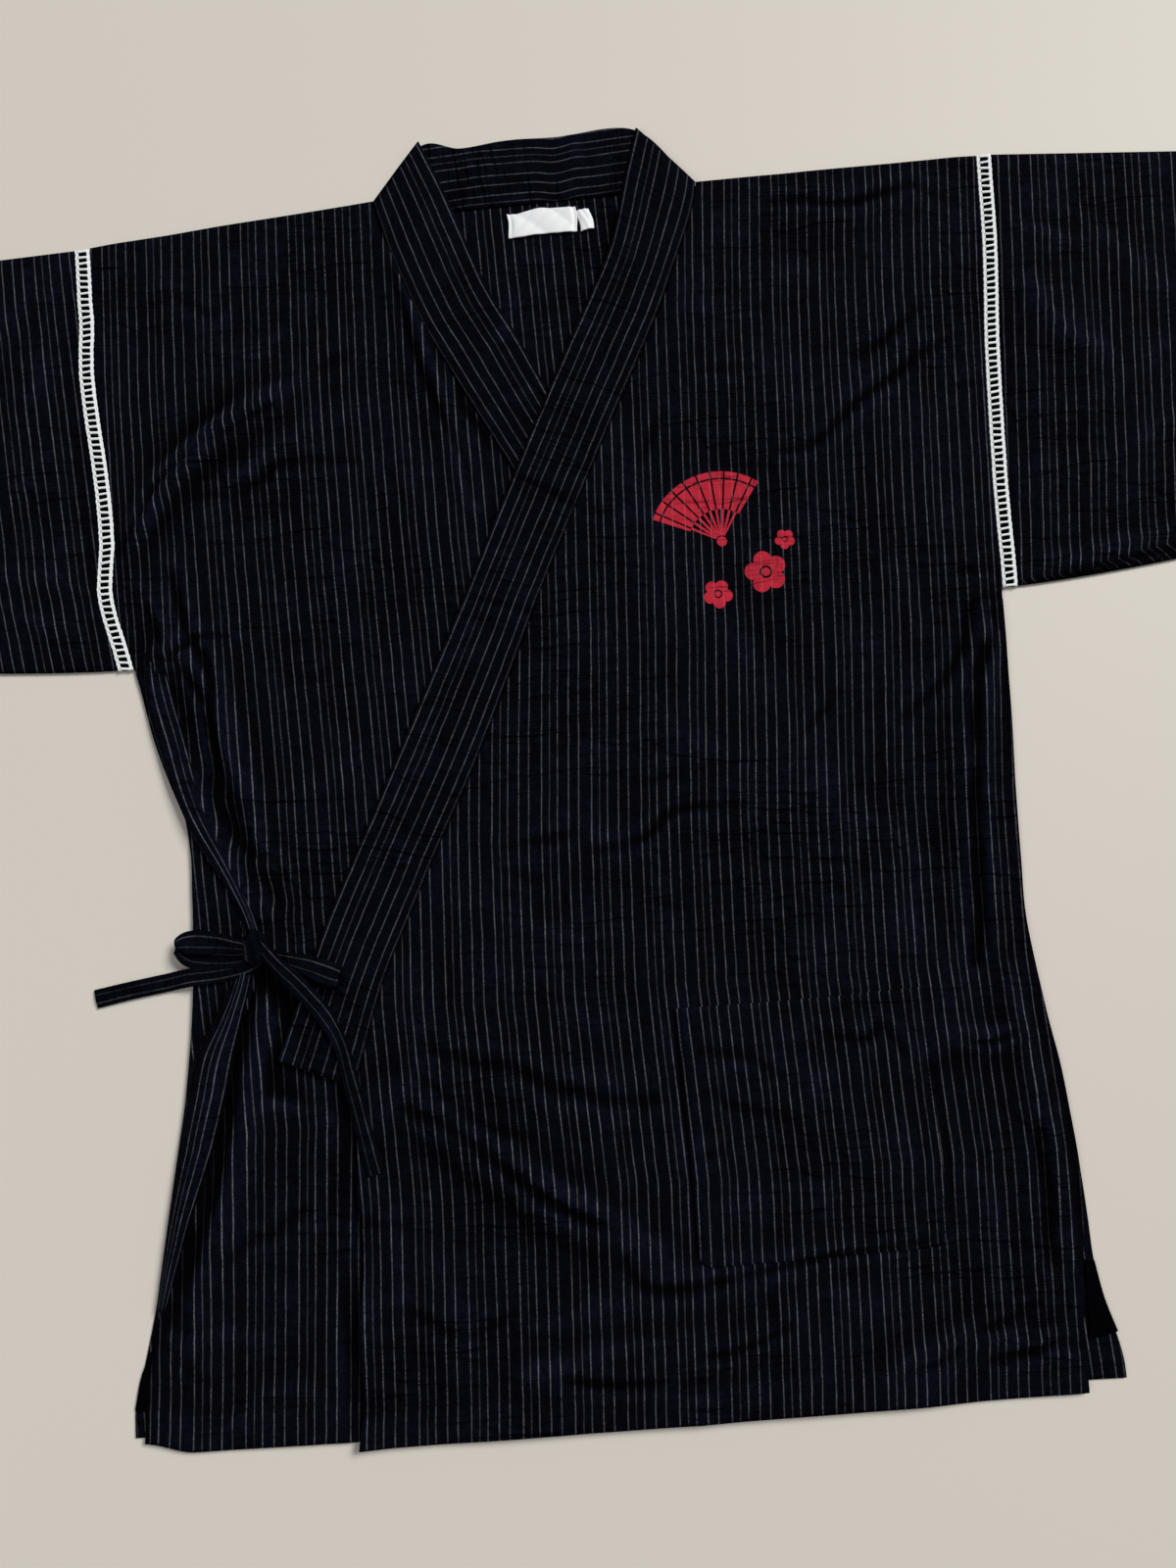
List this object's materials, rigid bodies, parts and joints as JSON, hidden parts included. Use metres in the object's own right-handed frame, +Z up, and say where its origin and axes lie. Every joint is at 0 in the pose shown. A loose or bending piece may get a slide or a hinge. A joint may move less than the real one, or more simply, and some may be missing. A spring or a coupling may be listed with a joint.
{
  "type": "men's jinbei jacket, laid flat",
  "caption": "Wrap-front summer jacket of striped cotton, laid flat, with wide short sleeves, laced armholes, a straight neckband, patch pocket and side bow.",
  "frame": {"origin": "middle of the jacket's box, on the surface that it lies on", "axes": "+X towards the wearer's left sleeve, +Y towards the neckband, +Z up off the surface"},
  "size_m": [1.1026, 0.821, 0.0147],
  "materials": {
    "cloth": "matt slub cotton, near-black navy with fine grey stripes",
    "neckband": "the same striped cotton, doubled",
    "tie": "the same striped cotton, folded to a tape",
    "lace": "off-white cotton ladder lace",
    "label": "plain white woven tape"
  },
  "bodies": {
    "root": {"back": "cloth", "front_right": "cloth", "front_left": "cloth", "pocket": "cloth", "sleeve_right": "cloth", "sleeve_left": "cloth", "lace_right_front": "lace", "lace_right_back": "lace", "lace_left_front": "lace", "lace_left_back": "lace", "neckband_left": "neckband", "neckband_right": "neckband", "neckband_back": "neckband", "label": "label", "size_tab": "label", "tie_knot": "tie", "tie_loop_1": "tie", "tie_loop_2": "tie", "tie_tail_1": "tie", "tie_tail_2": "tie"}
  },
  "joints": []
}
